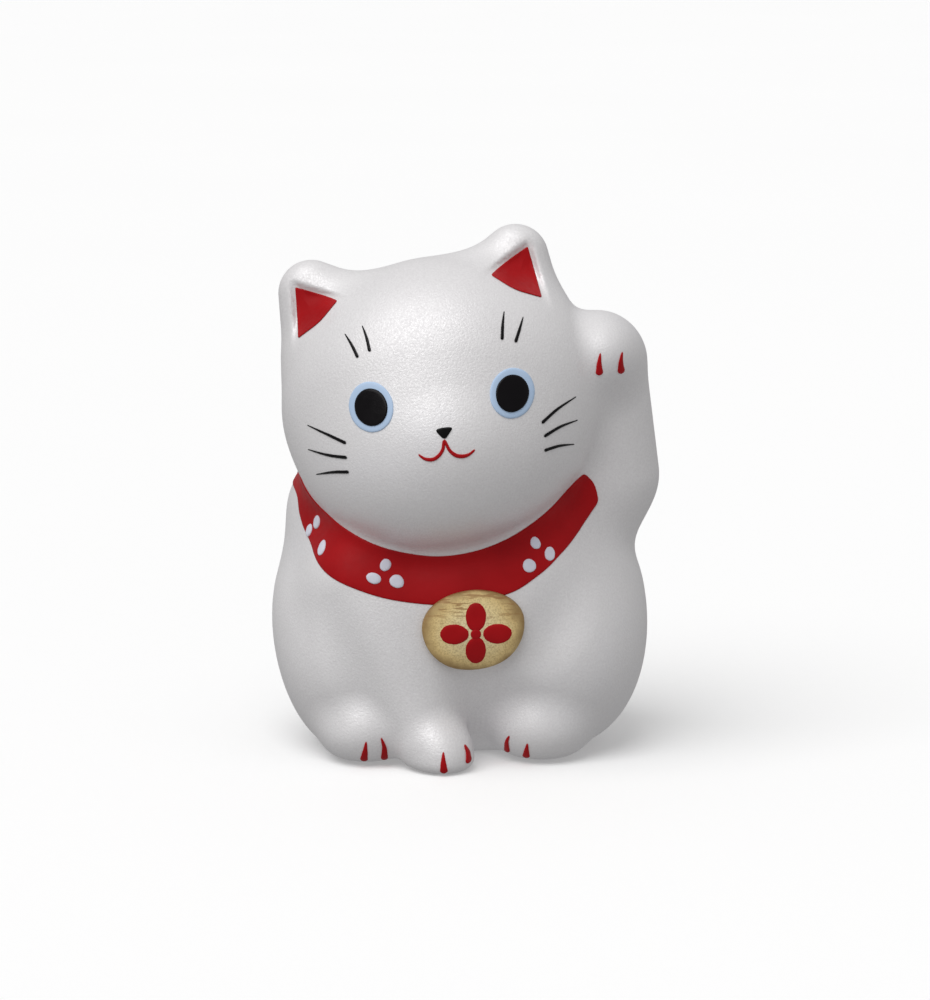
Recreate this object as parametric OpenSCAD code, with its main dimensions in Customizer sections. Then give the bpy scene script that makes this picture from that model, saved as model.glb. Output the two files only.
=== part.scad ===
// Beckoning cat figurine: hollow pottery, sitting, with its left paw raised.
// Millimetres. +Z is up, -Y is the side the cat faces, +X is the cat's left.
// The figure stands on z = 0, and its own middle is at x = 0, y = 0.

/* [Head] */
// Width of the head across the cheeks
head_w = 43.8; // [42:0.2:45]
// Depth of the head from nose to back
head_d = 37.2; // [36:0.2:39]
// Height of the head without its ears
head_h = 39.2; // [37.4:0.2:40.4]
// How far the head leans to the cat's right, in degrees
head_lean = 10; // [8:0.5:12]
// Depth of the hollow in each ear
ear_hollow = 1.1; // [0.6:0.1:1.4]

/* [Body] */
// Width of the body
body_w = 51.6; // [49:0.2:54]
// Depth of the body
body_d = 42; // [40:0.2:44]
// Radius of the raised arm at the elbow
elbow_r = 8.7; // [8.2:0.1:9.2]
// Radius of the raised arm at the wrist
wrist_r = 6.7; // [6.1:0.1:7.1]

/* [Pottery] */
// Thickness of the clay wall
wall = 2.6; // [2:0.1:3]
// Radius of the opening in the bottom, which the disc closes
opening_r = 8.5; // [7.5:0.5:9.5]
// Gap for slip around the disc
slip_gap = 0.1; // [0.05:0.05:0.2]
// Radius of the vent hole in the disc
vent_r = 2.5; // [1.5:0.5:4]

/* [Paint] */
// Thickness of a brushed coat of enamel
coat = 0.16; // [0.1:0.02:0.3]
// Width of an eye's blue ring from outside to outside
eye_w = 5.9; // [5.2:0.1:6.6]
// Width of a pupil
pupil_w = 4.4; // [3.6:0.1:5]
// Width of a whisker at its thick end
whisker_w = 0.45; // [0.35:0.05:0.7]

/* [Coin] */
// Width of the gold coin
coin_w = 13.6; // [12.6:0.2:14.6]
// Height of the gold coin
coin_h = 10.8; // [10:0.2:11.6]
// How far the coin stands out from the chest
coin_relief = 1.2; // [0.8:0.1:1.6]

/* [Hidden] */

clay = [0.91, 0.90, 0.89];
bare_clay = [0.80, 0.76, 0.71];
red = [0.70, 0.10, 0.12];
black = [0.10, 0.09, 0.10];
pale_blue = [0.69, 0.81, 0.93];
gold = [0.80, 0.68, 0.42];
lilac_white = [0.87, 0.87, 0.93];

// ---- the form: soft lumps of clay, each [centre, radii, how widely it blends in] ----
BODY = [
    [[-0.8, 2, 17.9], [body_w / 2, body_d / 2, 22.4], 0],
    [[-2.1, 3.5, 32.7], [22, 15.5, 11.5], 6],
    [[-15.3, -4.7, 12.1], [8.9, 12.5, 12.4], 5],
    [[14, -4.1, 12.2], [9.2, 12.5, 11.2], 5]
];
// hollows pressed in beside the front leg and between chest and haunch, each
// [upper end, its radius, lower end, its radius, how widely it blends in]
HOLLOWS = [
    [[2.4, -22, 14], 2.7, [2.9, -18, -0.6], 7, 5],
    [[-19, -18.4, 24], 1.8, [-10.9, -20.2, 7], 3, 4],
    [[19.5, -16, 29], 1.2, [10.1, -21, 16], 1.4, 5]
];
ELBOW = [18, 2.5, 36.7];
WRIST = [18, 1, 52];
RAISED_PAW = [[17.8, -3.5, 53.7], [5.4, 7, 5.4], 4];
ARM_BLEND = 5;

// the head has its own upright frame, which leans with it
HEAD_AT = [-3.5, -3.5, 48];
HEAD = [
    [[0.4, 0, -0.5], [head_w / 2, head_d / 2, head_h / 2], 0],
    [[-0.9, -4.5, -6.5], [17.2, 17.1, 14], 4],
    [[0.7, -14.6, -4.1], [5.5, 4.4, 4.3], 5]
];
NECK_BLEND = 2.5;
EAR_MID = -0.6;
EAR_ROOT = [10, 0, 9];
EAR_TIP = [14, 0, 16.8];
EAR_ROOT_R = 9.3;
EAR_TIP_R = 4.5;
EAR_PLANE = 2;
EAR_FLATNESS = 0.78;
EAR_BLEND = 3;
EAR_CORNERS = [[15.9, 18.2], [10.4, 15.8], [16.6, 11.6]];
EAR_RIM = 0.75;
EAR_WALL = 0.8;
EAR_RAMP = 0.45;
EAR_SOFT = 0.4;

LEG_TOP = [-13.5, -9.8, 24];
LEG_FOOT = [-5.5, -16.5, 4.2];
LEG_TOP_R = 7.2;
LEG_FOOT_R = 4.2;
LEG_BLEND = 4;
FEET = [
    [[-3.1, -17.4, 1.4], [4.3, 5.4, 4.8], 3],
    [[-13.4, -11.6, 4.2], [6.3, 7.1, 5.3], 2.5],
    [[10.2, -10.7, 4.5], [6.8, 6.9, 5.5], 2.5]
];
TAIL = [[0.3, 21, 8], [6.5, 4.6, 6], 3];
FOOT_ROUND = 1.5;

// smooth union and smooth intersection of two distances
function smin(a, b, k) = let (h = max(k - abs(a - b), 0)) min(a, b) - h * h / (4 * max(k, 0.001));
function smax(a, b, k) = -smin(-a, -b, k);

// distance to an ellipsoid, true near its surface
function lump(p, r) =
    let (a = [p.x / r.x, p.y / r.y, p.z / r.z])
    let (b = [a.x / r.x, a.y / r.y, a.z / r.z])
    let (far = norm(a))
    far < 0.001 ? -min(r) : far * (far - 1) / norm(b);

// distance to a list of lumps that blend into the distance d
function lumps(p, list, d, i = 0) =
    i == len(list) ? d
    : lumps(p, list, smin(d, lump(p - list[i][0], list[i][1]), list[i][2]), i + 1);

// distance to a limb with round ends of radius ra at a and rb at b
function limb(p, a, ra, b, rb) =
    let (along = norm(b - a))
    let (axis = (b - a) / along)
    let (y = (p - a) * axis)
    let (x = norm(p - a - y * axis))
    let (s = (ra - rb) / along)
    let (c = sqrt(1 - s * s))
    let (k = c * y - s * x)
    k < 0 ? norm([x, y]) - ra
    : k > along * c ? norm([x, y - along]) - rb
    : c * x + s * y - ra;

// presses the hollows into the distance d
function pressed(p, d, i = 0) =
    i == len(HOLLOWS) ? d
    : let (h = HOLLOWS[i])
      pressed(p, smax(d, -limb(p, h[0], h[1], h[2], h[3]), h[4]), i + 1);

function in_head(p) =
    let (q = p - HEAD_AT)
    [cos(head_lean) * q.x + sin(head_lean) * q.z, q.y, cos(head_lean) * q.z - sin(head_lean) * q.x];

// x and z of a spot drawn on the head's own upright frame
function head_spot(u, w) = [
    HEAD_AT.x + cos(head_lean) * u - sin(head_lean) * w,
    HEAD_AT.z + sin(head_lean) * u + cos(head_lean) * w
];

// how far inside one side of the ear's triangle a point is
function ear_side(q, i) =
    let (a = EAR_CORNERS[i], b = EAR_CORNERS[(i + 1) % 3])
    ([q.x, q.z] - a) * [a.y - b.y, b.x - a.x] / norm(b - a);

function head(q) =
    let (m = [abs(q.x - EAR_MID), (q.y - EAR_PLANE) / EAR_FLATNESS, q.z])
    let (ear = limb(m, EAR_ROOT, EAR_ROOT_R, EAR_TIP, EAR_TIP_R) * sqrt(EAR_FLATNESS))
    smin(lumps(q, HEAD, 1000), ear, EAR_BLEND);

// presses the hollow of each ear into the front of the head: it is deep under the
// ear's upper and outer rims and runs out flush towards the face
function with_ear_hollows(d, q) =
    let (m = [abs(q.x - EAR_MID), q.y, q.z], inner = ear_side(m, 1))
    q.z < 5 || d < -4 || inner < -1.5 ? d
    : let (rim = smin(ear_side(m, 0), ear_side(m, 2), 1) + EAR_RIM + EAR_WALL * d)
      let (depth = smin(max(EAR_RAMP * (inner + 1.4), 0), ear_hollow + EAR_SOFT, 0.6))
      smax(d, smin(min(rim, -q.y - 0.5), d + depth - EAR_SOFT, 0.7), EAR_SOFT);

// distance from a point to the figure's surface, negative inside
function figure(p) =
    let (arm = lumps(p, [RAISED_PAW], limb(p, ELBOW, elbow_r, WRIST, wrist_r)))
    let (torso = smin(pressed(p, lumps(p, BODY, 1000)), arm, ARM_BLEND))
    let (q = in_head(p))
    let (whole = with_ear_hollows(smin(torso, head(q), NECK_BLEND), q))
    let (legged = smin(whole, limb(p, LEG_TOP, LEG_TOP_R, LEG_FOOT, LEG_FOOT_R), LEG_BLEND))
    smax(lumps(p, concat(FEET, [TAIL]), legged), -p.z, FOOT_ROUND);

// moves a point along a line until the surface is the given height under it
function settle(p, way, height, n = 30) =
    let (gap = figure(p) - height)
    n == 0 || abs(gap) < 0.003 ? p : settle(p + 0.9 * gap * way, way, height, n - 1);

// a point on the figure, straight in from the front at x, z
function from_front(spot, height) = settle([spot[0], -34, spot[1]], [0, 1, 0], height);
// a point on the figure, straight in towards the upright axis, at an angle and a height
function from_side(angle, z, height) =
    let (way = [cos(angle), sin(angle), 0])
    settle([AXIS.x, AXIS.y, z] + 38 * way, -way, height);

// ---- the two moulded halves, cut at the seam that runs over the ears ----
AXIS = [-2.2, 0];
LOW_Z = 9;
HIGH_Z = 48;
COLUMNS = 40;
// each row of the moulded skin is [height of its middle, how steeply it looks up]
ROWS = concat(
    [for (a = [-35:5:-5]) [LOW_Z, a]],
    [for (z = [LOW_Z:2.05:HIGH_Z]) [z, 0]],
    [for (a = [3.5:3.5:87.5]) [HIGH_Z, a]]
);

function look(angle, rise) = [cos(rise) * cos(angle), cos(rise) * sin(angle), sin(rise)];
function skin_point(row, angle, height) =
    let (middle = [AXIS.x, AXIS.y, row[0]], way = look(angle, row[1]))
    settle(middle + (height < 0 ? 32 : 40) * way, -way, height);
function rim_ring(from, z) = [
    for (i = [0:COLUMNS])
    let (angle = from + 180 * i / COLUMNS)
    [AXIS.x + opening_r * cos(angle), AXIS.y + opening_r * sin(angle), z]
];
// rows for the inside start above the foot ring
function inner_row(row) = row[1] < 0 ? [row[0], row[1] * 0.75] : row;
function skin(from, height) = [
    for (row = ROWS)
    let (r = height < 0 ? inner_row(row) : row)
    [for (i = [0:COLUMNS]) skin_point(r, from + 180 * i / COLUMNS, height)]
];

// two triangles for the square between four numbered corners
function square(a, b, c, d) = [[a, b, c], [a, c, d]];
function flatten(list) = [for (part = list) for (item = part) item];

module half_shell(from) {
    columns = COLUMNS + 1;
    outer = concat([rim_ring(from, 0)], skin(from, 0));
    inner = concat([rim_ring(from, wall)], skin(from, -wall));
    rows = len(outer);
    count = rows * columns;
    top_out = skin_point([HIGH_Z, 90], from, 0);
    top_in = skin_point([HIGH_Z, 90], from, -wall);
    points = concat(flatten(outer), flatten(inner), [top_out, top_in]);
    walls = flatten([
        for (r = [0:rows - 2], c = [0:COLUMNS - 1])
        let (a = r * columns + c, b = a + columns)
        concat(square(a, b, b + 1, a + 1), square(count + a, count + a + 1, count + b + 1, count + b))
    ]);
    crown = flatten([
        for (c = [0:COLUMNS - 1])
        let (a = (rows - 1) * columns + c)
        [[a, 2 * count, a + 1], [count + a, count + a + 1, 2 * count + 1]]
    ]);
    foot_ring = flatten([for (c = [0:COLUMNS - 1]) square(c, c + 1, count + c + 1, count + c)]);
    seams = flatten([
        for (r = [0:rows - 2])
        let (a = r * columns, b = a + columns)
        concat(
            square(a, count + a, count + b, b),
            square(a + COLUMNS, b + COLUMNS, count + b + COLUMNS, count + a + COLUMNS)
        )
    ]);
    last = (rows - 1) * columns;
    seam_tops = concat(
        square(last, count + last, 2 * count + 1, 2 * count),
        square(last + COLUMNS, 2 * count, 2 * count + 1, count + last + COLUMNS)
    );
    polyhedron(points, concat(walls, crown, foot_ring, seams, seam_tops));
}

module front_shell() {
    color(clay) half_shell(180);
}

module back_shell() {
    color(clay) half_shell(0);
}

module base_disc() {
    color(bare_clay)
    translate([AXIS.x, AXIS.y, 0])
    difference() {
        cylinder(r = opening_r * cos(90 / COLUMNS) - slip_gap, h = wall, $fn = 96);
        translate([0, 0, -1]) cylinder(r = vent_r, h = wall + 2, $fn = 48);
    }
}

// ---- painted and applied work: thin closed solids that lie on the clay ----
// space left under the first coat
KEY = 0.03;
// space left between one coat and the next
BETWEEN = 0.01;
first_coat = KEY + coat;
second_coat = first_coat + BETWEEN + coat;

function place(spot, height, around) =
    around ? from_side(spot[0], spot[1], height) : from_front(spot, height);

// a smooth curve through the middle ones of four points, for points of any length
function bend(a, b, c, d, t) =
    0.5 * (2 * b + t * (c - a) + t * t * (2 * a - 5 * b + 4 * c - d) + t * t * t * (3 * b - a - 3 * c + d));
function smooth_line(points, steps) =
    let (last = len(points) - 1)
    [
        for (i = [0:steps * last])
        let (k = min(floor(i / steps), last - 1))
        bend(points[max(k - 1, 0)], points[k], points[k + 1], points[min(k + 2, last)], i / steps - k)
    ];

// a coat over rows of spots, between two heights
module strip(rows, under, over, around = false) {
    n = len(rows);
    m = len(rows[0]);
    top = [for (row = rows, spot = row) place(spot, over, around)];
    bottom = [for (row = rows, spot = row) place(spot, under, around)];
    count = n * m;
    faces = flatten([
        for (r = [0:n - 2], c = [0:m - 2])
        let (a = r * m + c, b = a + m)
        concat(square(a, a + 1, b + 1, b), square(count + a, count + b, count + b + 1, count + a + 1))
    ]);
    long_sides = flatten([
        for (r = [0:n - 2])
        let (a = r * m, b = a + m, e = a + m - 1, f = b + m - 1)
        concat(square(a, b, count + b, count + a), square(e, count + e, count + f, f))
    ]);
    ends = flatten([
        for (c = [0:m - 2])
        let (e = (n - 1) * m + c)
        concat(square(c, count + c, count + c + 1, c + 1), square(e, e + 1, count + e + 1, count + e))
    ]);
    polyhedron(concat(top, bottom), concat(faces, long_sides, ends));
}

// a coat inside a closed outline, with a ring of points at each share of the way out
module patch(outline, shares, under, over, around = false) {
    n = len(outline);
    middle = [for (k = [0, 1]) [for (spot = outline) 1] * [for (spot = outline) spot[k]] / n];
    spots = concat([middle], [for (t = shares, spot = outline) middle + t * (spot - middle)]);
    top = [for (spot = spots) place(spot, over(spot), around)];
    bottom = [for (spot = spots) place(spot, under(spot), around)];
    count = len(spots);
    fan = flatten([
        for (i = [0:n - 1])
        let (j = (i + 1) % n)
        [[0, 1 + j, 1 + i], [count, count + 1 + i, count + 1 + j]]
    ]);
    rings = len(shares) < 2 ? [] : flatten([
        for (r = [0:len(shares) - 2], i = [0:n - 1])
        let (a = 1 + r * n + i, b = 1 + r * n + (i + 1) % n)
        concat(square(a, b, b + n, a + n), square(count + a, count + a + n, count + b + n, count + b))
    ]);
    last = 1 + (len(shares) - 1) * n;
    side = flatten([
        for (i = [0:n - 1])
        let (a = last + i, b = last + (i + 1) % n)
        square(a, b, count + b, count + a)
    ]);
    polyhedron(concat(top, bottom), concat(fan, rings, side));
}

// a tapering brush stroke through [x, z, half width]
module stroke(points, steps = 4) {
    line = smooth_line(points, steps);
    last = len(line) - 1;
    rows = [
        for (i = [0:last])
        let (run = line[min(i + 1, last)] - line[max(i - 1, 0)])
        let (across = [-run[1], run[0]] / norm([run[0], run[1]]))
        [for (side = [-1, 0, 1]) [line[i][0], line[i][1]] + side * line[i][2] * across]
    ];
    strip(rows, KEY, first_coat);
}

// a stroke drawn on the head's own frame
module head_stroke(points, steps = 4) {
    stroke([for (p = points) concat(head_spot(p[0], p[1]), [p[2]])], steps);
}

function oval(middle, half_w, half_h, turn = 0, sides = 24) = [
    for (i = [0:sides - 1])
    let (a = 360 * i / sides)
    middle + [
        half_w * cos(a) * cos(turn) - half_h * sin(a) * sin(turn),
        half_w * cos(a) * sin(turn) + half_h * sin(a) * cos(turn)
    ]
];

module flat_coat(outline, under = KEY, over = first_coat, around = false, shares = [0.5, 1]) {
    patch(outline, shares, function (spot) under, function (spot) over, around);
}

// ---- the gold coin on the chest: an oval that is fullest above its middle ----
COIN_AT = [1.05, 19.65];
COIN_TURN = 5;
COIN_BASE = first_coat + BETWEEN;
COIN_EDGE = 0.55;
COIN_FULL = 0.43;
coin_up = COIN_FULL * coin_h;
coin_down = coin_h - coin_up;
function coin_share(spot) =
    let (q = spot - COIN_AT)
    let (along = [cos(COIN_TURN), sin(COIN_TURN)] * q, up = [-sin(COIN_TURN), cos(COIN_TURN)] * q)
    norm([2 * along / coin_w, up / (up > 0 ? coin_up : coin_down)]);
function coin_height(spot) =
    COIN_BASE + coin_relief * (COIN_EDGE + (1 - COIN_EDGE) * sqrt(max(1 - pow(coin_share(spot), 4), 0)));
COIN_SIDES = 36;
coin_outline = [
    for (i = [0:COIN_SIDES - 1])
    let (a = 360 * i / COIN_SIDES, x = coin_w / 2 * cos(a))
    let (z = (a < 180 ? coin_up : coin_down) * sin(a))
    COIN_AT + [x * cos(COIN_TURN) - z * sin(COIN_TURN), x * sin(COIN_TURN) + z * cos(COIN_TURN)]
];

module koban_coin() {
    color(gold)
    patch(
        coin_outline, [0.35, 0.65, 0.85, 0.95, 1],
        function (spot) COIN_BASE, function (spot) coin_height(spot)
    );
}

// a plain four-petalled flower painted on the coin
FLOWER_AT = [1.4, 18.7];
PETAL_OUT = 2.85;
PETAL_LONG = 1.9;
PETAL_WIDE = 1.35;
FLOWER_HEART = 0.7;
FLOWER_SQUASH = 0.8;
function on_coin(extra) = function (spot) coin_height(spot) + extra;

module koban_emblem() {
    color(red) {
        for (a = [0:90:270]) {
            way = [cos(a), FLOWER_SQUASH * sin(a)];
            petal = oval(FLOWER_AT + PETAL_OUT * way, PETAL_LONG, PETAL_WIDE, a, 16);
            patch(petal, [0.5, 1], on_coin(BETWEEN), on_coin(BETWEEN + coat));
        }
        heart = oval(FLOWER_AT, FLOWER_HEART, FLOWER_HEART, 0, 12);
        patch(heart, [1], on_coin(BETWEEN), on_coin(BETWEEN + coat));
    }
}

// ---- the collar: [angle round the neck, lower edge, upper edge] ----
COLLAR = [
    [-19.8, 34.9, 36.2], [-20.3, 34, 37.3], [-22.5, 32.9, 38.1], [-26, 31.7, 37.8],
    [-33, 30, 36.6], [-42, 28, 34.4], [-53, 25.7, 32.3], [-65, 23.7, 30.5],
    [-80, 22.8, 29.1], [-97, 22.3, 28.6], [-115, 23.1, 29.4], [-132, 25.1, 31.5],
    [-147, 27.6, 33.5], [-157, 29.1, 35], [-163, 30.2, 36], [-168, 31.9, 36.7],
    [-174, 34.2, 37.6], [-184, 35.2, 38.9], [-205, 35.6, 40.4], [-228, 35.6, 41.1],
    [-250, 35.6, 41.4], [-270, 35.6, 41.5], [-290, 35.6, 41.5], [-310, 35.6, 41.5],
    [-322, 36.3, 40.7], [-326, 37.8, 39.2]
];
COLLAR_ROWS = 4;

module collar_band() {
    line = smooth_line(COLLAR, 3);
    rows = [
        for (p = line)
        [for (k = [0:COLLAR_ROWS]) [p[0], p[2] + (p[1] - p[2]) * k / COLLAR_ROWS]]
    ];
    color(red) strip(rows, KEY, first_coat, true);
}

// white dots in threes on the collar: [angle, height, half width, half height, turn]
DOTS = [
    [-155.2, 31.7, 0.75, 0.92, 0], [-159.2, 30.4, 0.58, 0.85, 15], [-144.4, 28.9, 0.66, 1.02, 25],
    [-116.4, 27.4, 0.64, 0.8, 5], [-119.7, 25.7, 0.9, 0.64, -35], [-111.4, 25.3, 0.98, 0.76, -40],
    [-50.8, 29.9, 0.7, 0.8, -10], [-46.1, 28.4, 0.64, 0.95, -30], [-55.8, 27.1, 0.93, 0.8, 40],
    [-200, 38.9, 0.65, 0.82, 10], [-203.5, 37.2, 0.9, 0.68, -35], [-195.5, 37, 0.92, 0.76, -40],
    [-245, 39.6, 0.68, 0.82, -10], [-249, 37.8, 0.9, 0.68, -35], [-241, 37.7, 0.92, 0.74, 30],
    [-290, 39.7, 0.68, 0.82, 10], [-294, 37.9, 0.9, 0.7, -25], [-286, 37.7, 0.9, 0.74, 35]
];
NECK_R = 18.5;

module collar_dots() {
    degree = PI * NECK_R / 180;
    color(lilac_white)
    for (dot = DOTS) {
        flat_dot = oval([0, 0], dot[2], dot[3], dot[4], 12);
        outline = [for (spot = flat_dot) [dot[0] + spot[0] / degree, dot[1] + spot[1]]];
        flat_coat(outline, first_coat + BETWEEN, second_coat, true, [1]);
    }
}

// ---- the face ----
// side is 1 for the cat's left ear and -1 for its right ear
module ear_inner(side) {
    sides = smooth_corners([for (c = EAR_CORNERS) [side * c[0] + EAR_MID, c[1]]]);
    ordered = side > 0 ? sides : [for (i = [len(sides) - 1:-1:0]) sides[i]];
    flat_coat([for (c = ordered) head_spot(c[0], c[1])], shares = [0.5, 0.8, 1]);
}
EAR_BOW = 0.3;
// points along the sides of a triangle, with its inner side a little bowed
function smooth_corners(c) =
    let (steps = 8, heart = (c[0] + c[1] + c[2]) / 3)
    [
        for (k = [0:2], i = [0:steps - 1])
        let (t = i / steps, a = c[k], b = c[(k + 1) % 3], spot = a + t * (b - a))
        k == 1 ? spot + EAR_BOW * 4 * t * (1 - t) * (spot - heart) / norm(spot - heart) : spot
    ];

module ear_inner_left() {
    color(red) ear_inner(1);
}

module ear_inner_right() {
    color(red) ear_inner(-1);
}

LEFT_EYE = [10, 1.15];
RIGHT_EYE = [-8.5, 2.6];
EYE_TALL = 1.08;

module eye_ring(at) {
    color(pale_blue) flat_coat(oval(head_spot(at[0], at[1]), eye_w / 2, EYE_TALL * eye_w / 2));
}

module pupil(at) {
    round_pupil = oval(head_spot(at[0], at[1]), pupil_w / 2, EYE_TALL * pupil_w / 2);
    color(black) flat_coat(round_pupil, first_coat + BETWEEN, second_coat);
}

module eye_ring_left() {
    eye_ring(LEFT_EYE);
}

module eye_ring_right() {
    eye_ring(RIGHT_EYE);
}

module pupil_left() {
    pupil(LEFT_EYE);
}

module pupil_right() {
    pupil(RIGHT_EYE);
}

NOSE = [[0.36, -2.78], [1.15, -2], [1.68, -1.4], [1, -1.22], [0, -1.18], [-0.66, -1.32], [-0.3, -2]];

module nose() {
    color(black) flat_coat([for (p = NOSE) head_spot(p[0], p[1])]);
}

MOUTH_RIGHT = [[0.28, -2.85, 0.18], [-0.1, -3.9, 0.22], [-0.75, -4.6, 0.24], [-1.6, -4.97, 0.25],
    [-2.6, -4.75, 0.2], [-3.35, -4.05, 0.12]];
MOUTH_LEFT = [[0.28, -2.85, 0.18], [0.7, -4.1, 0.22], [1.35, -4.92, 0.25], [2.25, -5.26, 0.25],
    [3.15, -5.18, 0.2], [3.98, -4.72, 0.12]];

module mouth() {
    both = concat(
        [for (i = [len(MOUTH_RIGHT) - 1:-1:1]) MOUTH_RIGHT[i]],
        MOUTH_LEFT
    );
    color(red) head_stroke(both, 3);
}

THIN = 0.3;
function whisker(from, middle, to) = [
    concat(from, [THIN * whisker_w / 2]),
    concat(middle, [0.85 * whisker_w / 2]),
    concat(to, [whisker_w / 2])
];

module whiskers_left() {
    color(black) {
        head_stroke(whisker([18.2, -1.6], [15.5, -2.4], [13.1, -3.6]));
        head_stroke(whisker([17.9, -4.75], [15.5, -4.8], [13.1, -5.4]));
        head_stroke(whisker([16.9, -7.85], [14.9, -7.3], [12.8, -7.25]));
    }
}

module whiskers_right() {
    color(black) {
        head_stroke(whisker([-17.6, 0.85], [-14.9, -0.45], [-12.6, -1.65]));
        head_stroke(whisker([-18.1, -2.4], [-15.4, -3.1], [-12.8, -3.5]));
        head_stroke(whisker([-17.6, -5.8], [-15.15, -5.4], [-12.9, -5.4]));
    }
}

module brow_marks_left() {
    color(black) {
        head_stroke(whisker([10.75, 11.4], [10.25, 9.75], [9.85, 8]));
        head_stroke(whisker([13.1, 10.15], [12.3, 8.7], [11.5, 7.3]));
    }
}

module brow_marks_right() {
    color(black) {
        head_stroke(whisker([-10.5, 12], [-9.75, 10.5], [-9.2, 8.9]));
        head_stroke(whisker([-8, 12.75], [-7.65, 11.2], [-7.5, 9.45]));
    }
}

// ---- the claws: a stroke from a fine tip down to a broad round end ----
// half is half the width of its broad end
module claw(tip, middle, foot, half) {
    points = [
        concat(tip, [0.1]),
        concat(middle, [0.65 * half]),
        concat(foot + 0.25 * (middle - foot), [half]),
        concat(foot, [0.5 * half])
    ];
    color(red) stroke(points, 3);
}

module raised_paw_claws() {
    claw([18, 54.9], [17.85, 53.5], [17.9, 51.9], 0.5);
    claw([21, 54.9], [20.8, 53.5], [20.9, 51.9], 0.5);
}

module front_paw_claws() {
    claw([-2.9, 3.3], [-2.9, 2], [-2.8, 0.35], 0.52);
    claw([-0.1, 3.8], [0.35, 2.8], [0.5, 1.3], 0.4);
}

module left_foot_claws() {
    claw([5.9, 4], [5.55, 3], [5.6, 1.2], 0.37);
    claw([8.3, 3.2], [8.2, 2.1], [8.15, 0.75], 0.5);
}

module right_foot_claws() {
    claw([-13.2, 3.8], [-13.35, 2.4], [-13.6, 0.65], 0.52);
    claw([-11.2, 4.3], [-10.8, 2.9], [-10.8, 0.7], 0.46);
}

front_shell();
back_shell();
base_disc();
koban_coin();
koban_emblem();
collar_band();
collar_dots();
ear_inner_left();
ear_inner_right();
eye_ring_left();
eye_ring_right();
pupil_left();
pupil_right();
nose();
mouth();
whiskers_left();
whiskers_right();
brow_marks_left();
brow_marks_right();
raised_paw_claws();
front_paw_claws();
left_foot_claws();
right_foot_claws();
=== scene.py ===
"""Beckoning cat figurine: the looks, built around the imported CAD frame.

Lengths in the tables below are millimetres, as a potter would measure them, and MM turns them into
metres. +Z is up, the cat faces -Y, and +X is its own left.
"""
import math

import bpy
import numpy as np
import openvdb
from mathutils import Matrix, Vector


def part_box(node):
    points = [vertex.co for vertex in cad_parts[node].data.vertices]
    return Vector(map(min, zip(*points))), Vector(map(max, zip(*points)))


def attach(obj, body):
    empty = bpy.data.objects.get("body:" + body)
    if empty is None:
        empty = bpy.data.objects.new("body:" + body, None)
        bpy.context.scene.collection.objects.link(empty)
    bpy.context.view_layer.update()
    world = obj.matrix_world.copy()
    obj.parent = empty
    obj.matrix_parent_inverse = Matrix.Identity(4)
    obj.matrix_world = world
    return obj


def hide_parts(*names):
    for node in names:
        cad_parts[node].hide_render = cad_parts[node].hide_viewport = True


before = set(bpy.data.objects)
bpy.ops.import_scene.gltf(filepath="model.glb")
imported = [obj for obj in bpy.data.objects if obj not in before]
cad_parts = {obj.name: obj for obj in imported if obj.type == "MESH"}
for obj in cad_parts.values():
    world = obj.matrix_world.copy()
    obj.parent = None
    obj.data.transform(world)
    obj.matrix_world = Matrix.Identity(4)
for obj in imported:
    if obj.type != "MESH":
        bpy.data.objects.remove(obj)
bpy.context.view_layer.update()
MM = 0.001
BODY_NAME = "root"


# ---------------------------------------------------------------- the form, in millimetres
# soft lumps of clay: centre, radii, how widely each blends into what came before
TORSO = [
    ((-0.8, 2, 17.9), (25.8, 21, 22.4), 0),
    ((-2.1, 3.5, 32.7), (22, 15.5, 11.5), 6),
    ((-15.3, -4.7, 12.1), (8.9, 12.5, 12.4), 5),
    ((14, -4.1, 12.2), (9.2, 12.5, 11.2), 5),
]
ELBOW, ELBOW_R = (18, 2.5, 36.7), 8.7
WRIST, WRIST_R = (18, 1, 52), 6.7
RAISED_PAW = ((17.8, -3.5, 53.7), (5.4, 7, 5.4), 4)
ARM_BLEND = 5
HEAD_AT = np.array([-3.5, -3.5, 48.0])
HEAD_LEAN = math.radians(10)
HEAD = [
    ((0.4, 0, -0.5), (21.9, 18.6, 19.6), 0),
    ((-0.9, -4.5, -6.5), (17.2, 17.1, 14), 4),
    ((0.7, -14.6, -4.1), (5.5, 4.4, 4.3), 5),
]
NECK_BLEND = 2.5
EAR_MID, EAR_PLANE, EAR_FLATNESS, EAR_BLEND = -0.6, 2, 0.78, 3
EAR_ROOT, EAR_ROOT_R = (10, 0, 9), 9.3
EAR_TIP, EAR_TIP_R = (14, 0, 16.8), 4.5
EAR_CORNERS = np.array([[15.9, 18.2], [10.4, 15.8], [16.6, 11.6]])
EAR_RIM, EAR_HOLLOW, EAR_RAMP, EAR_WALL, EAR_BOW = 0.75, 1.1, 0.45, 0.8, 0.3
# the hollow's floor starts this far under the skin, and its ramp this far outside the triangle's base
EAR_FLOOR, EAR_RAMP_START = 0.4, 1.4
# how softly the hollow's walls meet each other, its ramp its floor, its walls its floor, and it the skin
EAR_WALLS_SOFT, EAR_RAMP_SOFT, EAR_FLOOR_SOFT, EAR_LIP_SOFT = 1.0, 0.6, 0.7, 0.4
# no hollow is cut behind this y, under this z of the head, or this far outside the triangle's base
EAR_BACK, EAR_UNDER, EAR_BEYOND = 0.5, 5, 1.5
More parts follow.
